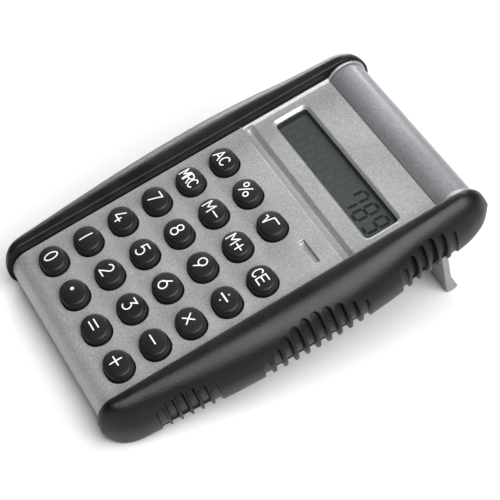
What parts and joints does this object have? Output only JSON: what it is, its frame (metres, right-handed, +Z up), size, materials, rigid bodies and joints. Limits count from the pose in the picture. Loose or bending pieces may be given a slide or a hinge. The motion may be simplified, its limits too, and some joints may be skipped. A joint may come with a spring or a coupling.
{
  "type": "desk calculator",
  "caption": "Pocket-sized desk calculator with soft side grips, domed keys, a recessed display and a flip-over cover that swings down behind it as a stand.",
  "frame": {"origin": "on the table under the middle of the footprint, as the calculator stands on the front of its grips and the toe of the open cover", "axes": "+X to the right across the keypad, +Y from the user towards the display and hinge, +Z up"},
  "size_m": [0.0948, 0.1342, 0.0512],
  "materials": {
    "silver_paint": "silver metallic paint on moulded plastic, satin",
    "dark_plastic": "fine moulded texture",
    "grip_rubber": "matte black soft-touch",
    "key_rubber": "satin black silicone",
    "clear_lens": "clear, gloss",
    "black_foam": "matte black",
    "lcd_glass": "grey-green reflective display",
    "elastomer": "matte",
    "board": "solder mask",
    "bright_steel": "bright plated"
  },
  "bodies": {
    "case": {"battery_contact_minus": "bright_steel", "battery_contact_plus": "bright_steel", "board_screw_1": "bright_steel", "board_screw_2": "bright_steel", "board_screw_3": "bright_steel", "board_screw_4": "bright_steel", "button_cell": "bright_steel", "case_screw_1": "bright_steel", "case_screw_2": "bright_steel", "case_screw_3": "bright_steel", "case_screw_4": "bright_steel", "case_screw_5": "bright_steel", "case_screw_6": "bright_steel", "circuit_board": "board", "display_gasket": "black_foam", "display_window": "clear_lens", "elastomer_connector": "elastomer", "front_cover": "silver_paint", "grip_left": "grip_rubber", "grip_right": "grip_rubber", "hinge_pin_left": "bright_steel", "hinge_pin_right": "bright_steel", "keypad_web": "key_rubber", "lcd_panel": "lcd_glass", "processor_blob": "black_foam", "rear_cover": "dark_plastic"},
    "flip_cover": {"flip_cover": "silver_paint", "cover_plug_left": "dark_plastic", "cover_plug_right": "dark_plastic"},
    "battery_door": {"battery_door": "dark_plastic"},
    "key_0": {"key_0": "key_rubber"},
    "key_1": {"key_1": "key_rubber"},
    "key_2": {"key_2": "key_rubber"},
    "key_3": {"key_3": "key_rubber"},
    "key_4": {"key_4": "key_rubber"},
    "key_5": {"key_5": "key_rubber"},
    "key_6": {"key_6": "key_rubber"},
    "key_7": {"key_7": "key_rubber"},
    "key_8": {"key_8": "key_rubber"},
    "key_9": {"key_9": "key_rubber"},
    "key_ac": {"key_ac": "key_rubber"},
    "key_ce": {"key_ce": "key_rubber"},
    "key_divide": {"key_divide": "key_rubber"},
    "key_equals": {"key_equals": "key_rubber"},
    "key_m_minus": {"key_m_minus": "key_rubber"},
    "key_m_plus": {"key_m_plus": "key_rubber"},
    "key_minus": {"key_minus": "key_rubber"},
    "key_mrc": {"key_mrc": "key_rubber"},
    "key_percent": {"key_percent": "key_rubber"},
    "key_plus": {"key_plus": "key_rubber"},
    "key_point": {"key_point": "key_rubber"},
    "key_root": {"key_root": "key_rubber"},
    "key_times": {"key_times": "key_rubber"}
  },
  "joints": [
    {"name": "flip_cover_hinge", "type": "hinge", "parent": "case", "child": "flip_cover", "pos_m": [0, 0.0577, 0.04299], "axis": [1, 0, 0], "range_deg": [0, 268]},
    {"name": "battery_door_slide", "type": "slide", "parent": "case", "child": "battery_door", "axis": [0, 0.9642, 0.2653], "range_m": [0, 0.014]},
    {"name": "key_0_press", "type": "slide", "parent": "case", "child": "key_0", "axis": [0, 0.2653, -0.9642], "range_m": [0, 0.001], "stiffness_N_per_m": 800},
    {"name": "key_1_press", "type": "slide", "parent": "case", "child": "key_1", "axis": [0, 0.2653, -0.9642], "range_m": [0, 0.001], "stiffness_N_per_m": 800},
    {"name": "key_2_press", "type": "slide", "parent": "case", "child": "key_2", "axis": [0, 0.2653, -0.9642], "range_m": [0, 0.001], "stiffness_N_per_m": 800},
    {"name": "key_3_press", "type": "slide", "parent": "case", "child": "key_3", "axis": [0, 0.2653, -0.9642], "range_m": [0, 0.001], "stiffness_N_per_m": 800},
    {"name": "key_4_press", "type": "slide", "parent": "case", "child": "key_4", "axis": [0, 0.2653, -0.9642], "range_m": [0, 0.001], "stiffness_N_per_m": 800},
    {"name": "key_5_press", "type": "slide", "parent": "case", "child": "key_5", "axis": [0, 0.2653, -0.9642], "range_m": [0, 0.001], "stiffness_N_per_m": 800},
    {"name": "key_6_press", "type": "slide", "parent": "case", "child": "key_6", "axis": [0, 0.2653, -0.9642], "range_m": [0, 0.001], "stiffness_N_per_m": 800},
    {"name": "key_7_press", "type": "slide", "parent": "case", "child": "key_7", "axis": [0, 0.2653, -0.9642], "range_m": [0, 0.001], "stiffness_N_per_m": 800},
    {"name": "key_8_press", "type": "slide", "parent": "case", "child": "key_8", "axis": [0, 0.2653, -0.9642], "range_m": [0, 0.001], "stiffness_N_per_m": 800},
    {"name": "key_9_press", "type": "slide", "parent": "case", "child": "key_9", "axis": [0, 0.2653, -0.9642], "range_m": [0, 0.001], "stiffness_N_per_m": 800},
    {"name": "key_ac_press", "type": "slide", "parent": "case", "child": "key_ac", "axis": [0, 0.2653, -0.9642], "range_m": [0, 0.001], "stiffness_N_per_m": 800},
    {"name": "key_ce_press", "type": "slide", "parent": "case", "child": "key_ce", "axis": [0, 0.2653, -0.9642], "range_m": [0, 0.001], "stiffness_N_per_m": 800},
    {"name": "key_divide_press", "type": "slide", "parent": "case", "child": "key_divide", "axis": [0, 0.2653, -0.9642], "range_m": [0, 0.001], "stiffness_N_per_m": 800},
    {"name": "key_equals_press", "type": "slide", "parent": "case", "child": "key_equals", "axis": [0, 0.2653, -0.9642], "range_m": [0, 0.001], "stiffness_N_per_m": 800},
    {"name": "key_m_minus_press", "type": "slide", "parent": "case", "child": "key_m_minus", "axis": [0, 0.2653, -0.9642], "range_m": [0, 0.001], "stiffness_N_per_m": 800},
    {"name": "key_m_plus_press", "type": "slide", "parent": "case", "child": "key_m_plus", "axis": [0, 0.2653, -0.9642], "range_m": [0, 0.001], "stiffness_N_per_m": 800},
    {"name": "key_minus_press", "type": "slide", "parent": "case", "child": "key_minus", "axis": [0, 0.2653, -0.9642], "range_m": [0, 0.001], "stiffness_N_per_m": 800},
    {"name": "key_mrc_press", "type": "slide", "parent": "case", "child": "key_mrc", "axis": [0, 0.2653, -0.9642], "range_m": [0, 0.001], "stiffness_N_per_m": 800},
    {"name": "key_percent_press", "type": "slide", "parent": "case", "child": "key_percent", "axis": [0, 0.2653, -0.9642], "range_m": [0, 0.001], "stiffness_N_per_m": 800},
    {"name": "key_plus_press", "type": "slide", "parent": "case", "child": "key_plus", "axis": [0, 0.2653, -0.9642], "range_m": [0, 0.001], "stiffness_N_per_m": 800},
    {"name": "key_point_press", "type": "slide", "parent": "case", "child": "key_point", "axis": [0, 0.2653, -0.9642], "range_m": [0, 0.001], "stiffness_N_per_m": 800},
    {"name": "key_root_press", "type": "slide", "parent": "case", "child": "key_root", "axis": [0, 0.2653, -0.9642], "range_m": [0, 0.001], "stiffness_N_per_m": 800},
    {"name": "key_times_press", "type": "slide", "parent": "case", "child": "key_times", "axis": [0, 0.2653, -0.9642], "range_m": [0, 0.001], "stiffness_N_per_m": 800}
  ]
}
